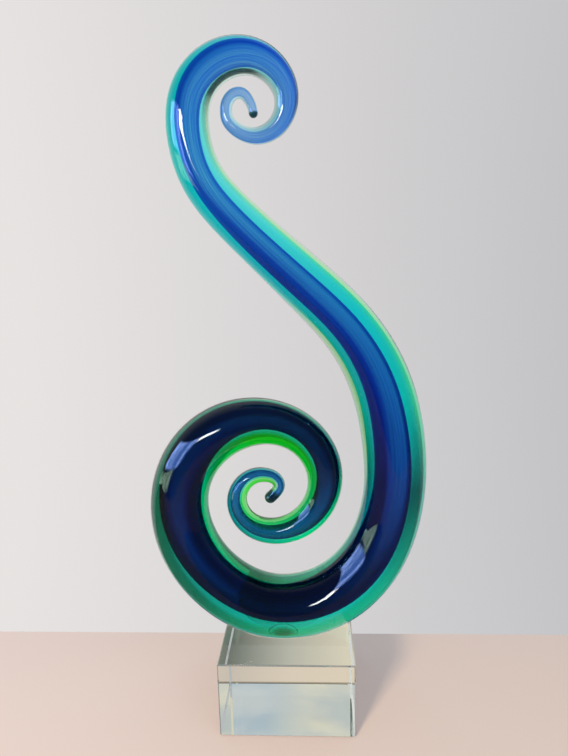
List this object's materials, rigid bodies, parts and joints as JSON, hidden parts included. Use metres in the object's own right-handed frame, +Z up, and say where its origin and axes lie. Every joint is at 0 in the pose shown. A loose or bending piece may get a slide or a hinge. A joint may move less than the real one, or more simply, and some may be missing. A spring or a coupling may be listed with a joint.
{
  "type": "glass wave sculpture",
  "caption": "Free-standing glass ornament: a tapered rod of layered green and blue glass in clear casing, wound into a scroll at each end, seated on a clear glass block.",
  "frame": {"origin": "centre of the glass block's underside", "axes": "+Z up, +X to the right of the front view (towards the stem), +Y to the back, across the rod's plane"},
  "size_m": [0.1687, 0.08, 0.3948],
  "materials": {
    "block_glass": "polished",
    "clear_adhesive": "clear",
    "casing_glass": "fire polished",
    "lime_glass": "transparent",
    "teal_glass": "transparent",
    "cobalt_glass": "transparent",
    "heart_glass": "transparent"
  },
  "bodies": {
    "root": {"glass_block": "block_glass", "adhesive_film": "clear_adhesive", "clear_casing": "casing_glass", "lime_layer": "lime_glass", "teal_layer": "teal_glass", "cobalt_layer": "cobalt_glass", "heart": "heart_glass"}
  },
  "joints": []
}
